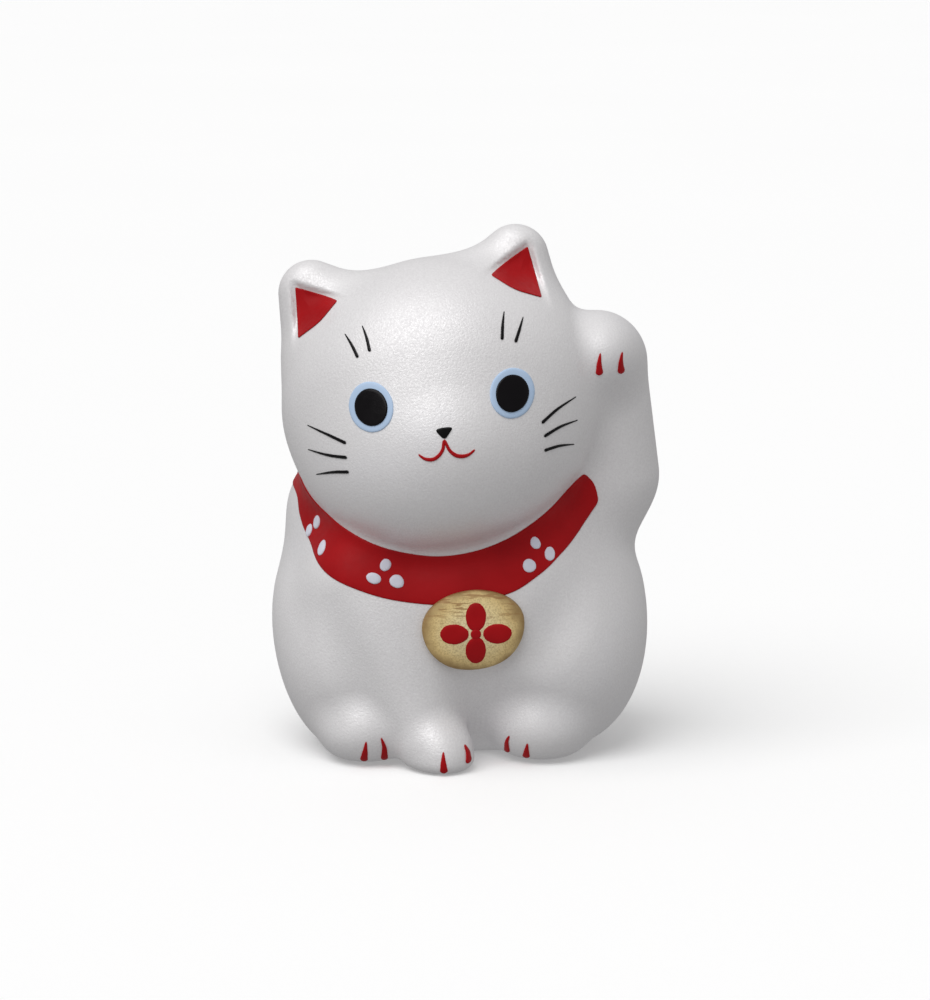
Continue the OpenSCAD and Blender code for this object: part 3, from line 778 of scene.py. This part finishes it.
# a coat laid on another starts this far under its top, and its underside lies this far under it
OVERLAP, OVERLAP_BED = 0.02, 0.1
EYE_EDGE, PUPIL_THICK, EAR_EDGE, NOSE_EDGE = 0.9, 0.2, 0.93, 0.8
COIN_AT = np.array([1.05, 19.65])
COIN_TURN = math.radians(5)
COIN_W, COIN_H, COIN_FULL, COIN_EDGE, COIN_RELIEF = 13.6, 10.8, 0.43, 0.55, 1.2
COIN_BASE = FIRST_COAT + BETWEEN
FLOWER_AT, PETAL_OUT, PETAL_LONG, PETAL_WIDE = np.array([1.4, 18.7]), 2.85, 1.9, 1.35
FLOWER_HEART, FLOWER_SQUASH = 0.7, 0.8
PETAL_THICK, HEART_THICK, FLOWER_BED = 0.14, 0.16, 0.9
COIN_SIDES = 160
COIN_SHARES = (0.15, 0.3, 0.45, 0.6, 0.7, 0.8, 0.87, 0.92, 0.96, 0.985, 1.0)


def node_box(node):
    """The middle and the size of a CAD node's box, in metres."""
    low, high = (Vector(corner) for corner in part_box(node))
    return (low + high) / 2, high - low


def make_collar(material):
    line = smooth_line(COLLAR, 14)
    t = np.linspace(0, 1, len(line))
    middle, half = (line[:, 1] + line[:, 2]) / 2, (line[:, 2] - line[:, 1]) / 2
    upper = middle + half + wobble(t, 11, 0.04)
    lower = middle - half - wobble(t, 12, 0.05)
    share = (1 - COLLAR_SHARES) / 2
    z = lower[:, None] + (upper - lower)[:, None] * share[None, :]
    rows = np.stack([np.repeat(line[:, :1], len(share), 1), z], 2)
    bead = np.sqrt(np.clip(1 - np.abs(COLLAR_SHARES) ** 20, 0, 1))
    from_end = np.minimum(np.arange(len(line)), np.arange(len(line))[::-1])
    ends = np.clip(from_end / COLLAR_END_ROWS, 0, 1) ** 0.5
    heights = KEY + COAT * bead[None, :] * ends[:, None]
    painted("collar_band", [strip_mesh(rows, heights, from_side)], material)


def make_dots(material):
    degree = math.pi * NECK_R / 180
    parts = []
    for i, (angle, z, half_w, half_h, turn) in enumerate(DOTS):
        shape = oval((0, 0), half_w, half_h, math.radians(turn), DOT_SIDES)
        shape = shape * (1 + wobble(around(shape), 200 + i, 0.03))[:, None]
        outline = np.array([angle, z]) + shape / np.array([degree, 1])
        height = coat_height(FIRST_COAT - OVERLAP, DOT_THICK, DOT_EDGE)
        parts.append(patch_mesh(outline, SHARES, height, FIRST_COAT - OVERLAP_BED, from_side))
    painted("collar_dots", parts, material)


def make_ears(material):
    for side, name in ((1, "ear_inner_left"), (-1, "ear_inner_right")):
        corners = [(side * u + EAR_MID, w) for u, w in EAR_CORNERS]
        if side < 0:
            corners = corners[::-1]
        heart = np.mean(corners, axis=0)
        outline = []
        for k in range(3):
            a, b = np.array(corners[k]), np.array(corners[(k + 1) % 3])
            bowed = (k == 1) if side > 0 else (k == 0)
            for t in np.linspace(0, 1, 12, endpoint=False):
                spot = a + t * (b - a)
                if bowed:
                    away = spot - heart
                    spot = spot + EAR_BOW * 4 * t * (1 - t) * away / np.linalg.norm(away)
                outline.append(spot)
        outline = round_off(outline, 2)
        outline = [head_spot(u, w) for u, w in outline]
        part = patch_mesh(outline, SHARES, coat_height(KEY, COAT, EAR_EDGE), BEDDED, from_front)
        painted(name, [part], material)


def make_eyes(blue, black):
    for side in ("left", "right"):
        for node, material, slot_name, low, thick, bottom in (
            ("eye_ring_" + side, blue, "blue_enamel", KEY, COAT, BEDDED),
            ("pupil_" + side, black, "black_enamel",
             FIRST_COAT - OVERLAP, PUPIL_THICK, FIRST_COAT - OVERLAP_BED),
        ):
            middle, size = (v / MM for v in node_box(node))
            outline = oval((middle.x, middle.z), size.x / 2, size.z / 2)
            uneven = wobble(around(outline), len(node), 0.008)[:, None]
            outline = outline + (outline - outline.mean(0)) * uneven
            part = patch_mesh(outline, SHARES, coat_height(low, thick, EYE_EDGE), bottom, from_front)
            painted(node, [part], material)


def make_strokes(red, black):
    nose = round_off([head_spot(u, w) for u, w in NOSE], 3)
    part = patch_mesh(nose, SHARES, coat_height(KEY, COAT, NOSE_EDGE), BEDDED, from_front)
    painted("nose", [part], black)
    painted("mouth", [stroke(on_head(MOUTH), 5)], red)
    for table, node in ((WHISKERS, "whiskers_"), (BROWS, "brow_marks_")):
        for side in ("left", "right"):
            lines = [[(*p, w) for p, w in zip(line, WHISKER_HALVES)] for line in table[side]]
            parts = [stroke(on_head(line), 20 + i) for i, line in enumerate(lines)]
            painted(node + side, parts, black)
    for node, claws in CLAWS.items():
        parts = []
        for i, (*spots, broad) in enumerate(claws):
            tip, middle, foot = (np.array(spot, float) for spot in spots)
            broadest = foot + 0.25 * (middle - foot)
            line = [(*tip, CLAW_TIP), (*middle, 0.65 * broad), (*broadest, broad), (*foot, 0.9 * broad)]
            parts.append(stroke(line, 40 + i))
        painted(node, parts, red)


def coin_share(spots):
    """How far out on the coin each spot is: 0 at its middle and 1 at its rim."""
    q = spots - COIN_AT
    c, s = math.cos(COIN_TURN), math.sin(COIN_TURN)
    along, up = q @ np.array([c, s]), q @ np.array([-s, c])
    reach = np.where(up > 0, COIN_FULL, 1 - COIN_FULL) * COIN_H
    return np.hypot(2 * along / COIN_W, up / reach)


def coin_height(spots):
    """The coin's height over the clay, domed with a soft rim."""
    dome = np.sqrt(np.clip(1 - coin_share(spots) ** 5, 0, 1))
    return COIN_BASE + COIN_RELIEF * (COIN_EDGE + (1 - COIN_EDGE) * dome)


def on_coin(thick):
    """A coat of paint on the coin, thin at its rim."""
    def height(spots, share):
        return coin_height(spots) + thick * np.sqrt(np.clip(1 - share ** 6, 0, 1)) - 0.01
    return height


def make_coin(gold, red):
    t = 2 * math.pi * np.arange(COIN_SIDES) / COIN_SIDES
    x = COIN_W / 2 * np.cos(t)
    z = np.where(t < math.pi, COIN_FULL, 1 - COIN_FULL) * COIN_H * np.sin(t)
    outline = turned(COIN_AT, x, z, COIN_TURN)
    part = patch_mesh(outline, COIN_SHARES, lambda spots, share: coin_height(spots), BEDDED, from_front)
    painted("koban_coin", [part], gold)
    parts = []
    for i in range(4):
        a = math.pi / 2 * i
        at = FLOWER_AT + PETAL_OUT * np.array([math.cos(a), FLOWER_SQUASH * math.sin(a)])
        petal = oval(at, PETAL_LONG, PETAL_WIDE, a, 64)
        petal = petal + (petal - at) * wobble(around(petal), 60 + i, 0.03)[:, None]
        parts.append(patch_mesh(petal, SHARES, on_coin(PETAL_THICK), FLOWER_BED, from_front))
    heart = oval(FLOWER_AT, FLOWER_HEART, FLOWER_HEART, 0, 48)
    parts.append(patch_mesh(heart, SHARES, on_coin(HEART_THICK), FLOWER_BED, from_front))
    painted("koban_emblem", parts, red)


# ---------------------------------------------------------------- camera, light and floor
# the view is level with the figure's middle and looks a little down on it
VIEW_AT = Vector((-0.0007, 0, 0.036))
VIEW_DISTANCE, VIEW_RISE = 0.48, math.radians(9)
LENS, SENSOR = 126.14, 36
SHIFT = (0.005, -0.019)
# the sky's strength from below to above, and each sun: where it stands, its spread and its strength
SKY = (("From Min", -0.6), ("From Max", 1.0), ("To Min", 0.38), ("To Max", 0.45))
SUNS = (("key", (-0.42, -0.54, 1.1), 55, 1.65), ("top", (0.1, 0.1, 1), 80, 0.15))
FLOOR_R, FLOOR_SIDES, FLOOR_DROP = 8.0, 96, 0.00002


def make_camera():
    camera = bpy.data.cameras.new("camera")
    camera.lens, camera.sensor_width, camera.sensor_fit = LENS, SENSOR, "AUTO"
    camera.shift_x, camera.shift_y = SHIFT
    camera.clip_start, camera.clip_end = 0.01, 20
    eye = put_in_scene("camera", camera)
    back = Vector((0, -math.cos(VIEW_RISE), math.sin(VIEW_RISE)))
    eye.location = VIEW_AT + VIEW_DISTANCE * back
    eye.rotation_euler = back.to_track_quat("Z", "Y").to_euler()
    bpy.context.scene.camera = eye


def soft_sun(name, toward, spread, strength):
    """A broad, far softbox: toward points from the figure to the light."""
    light = bpy.data.lights.new(name, "SUN")
    light.angle, light.energy = math.radians(spread), strength
    lamp = put_in_scene(name, light)
    lamp.location = Vector(toward).normalized()
    lamp.rotation_euler = Vector(toward).to_track_quat("Z", "Y").to_euler()


def make_sky():
    world = bpy.data.worlds.new("studio")
    world.use_nodes = True
    tree = world.node_tree
    toward = tree.nodes.new("ShaderNodeSeparateXYZ")
    tree.links.new(tree.nodes.new("ShaderNodeTexCoord").outputs["Generated"], toward.inputs[0])
    rise = tree.nodes.new("ShaderNodeMapRange")
    tree.links.new(toward.outputs["Z"], rise.inputs["Value"])
    for key, value in SKY:
        rise.inputs[key].default_value = value
    tree.links.new(rise.outputs["Result"], tree.nodes["Background"].inputs["Strength"])
    tree.nodes["Background"].inputs["Color"].default_value = (1, 1, 1, 1)
    bpy.context.scene.world = world
    bpy.context.scene.view_settings.view_transform = "Standard"


def make_floor():
    material, add, feed = new_material("floor_paper")
    where = place_of(add)
    feed("Base Color", greys(add, noise(add, where, 3, 2), (0.0, 0.95), (1.0, 0.97)))
    feed("Roughness", 0.9)
    feed("Emission Color", (1, 1, 1, 1))
    feed("Emission Strength", 0.1)
    feed("Specular IOR Level", 0.1)
    rim = [(x, y, 0) for x, y in ring((0, 0), FLOOR_R, FLOOR_SIDES)]
    mesh = bpy.data.meshes.new("floor")
    mesh.from_pydata(rim, [], [tuple(range(FLOOR_SIDES))])
    mesh.materials.append(material)
    floor = put_in_scene("floor", mesh)
    floor.location.z = -FLOOR_DROP
    floor.visible_diffuse = floor.visible_glossy = False


make_camera()
make_sky()
for sun in SUNS:
    soft_sun(*sun)
make_floor()
red = enamel("red_enamel", (0.36, 0.002, 0.005), (0.41, 0.003, 0.006), (0.46, 0.005, 0.009), shine=0.15)
black = enamel("black_enamel", (0.001, 0.001, 0.001), (0.002, 0.001, 0.002), (0.004, 0.003, 0.004),
               rough=(0.2, 0.3), shine=0.16)
blue = enamel("blue_enamel", (0.44, 0.59, 0.80), (0.48, 0.63, 0.84), (0.53, 0.67, 0.88))
white = enamel("white_enamel", (0.70, 0.70, 0.80), (0.74, 0.74, 0.84), (0.80, 0.80, 0.88))
coin_middle, coin_size = node_box("koban_coin")
gold = gold_paint(coin_middle, coin_size.x / 2, coin_size.z / 2)
disc_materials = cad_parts["base_disc"].data.materials
disc_materials.clear()
disc_materials.append(bare_clay())
make_shells(pearl_slip())
make_collar(red)
make_dots(white)
make_ears(red)
make_eyes(blue, black)
make_strokes(red, black)
make_coin(gold, red)
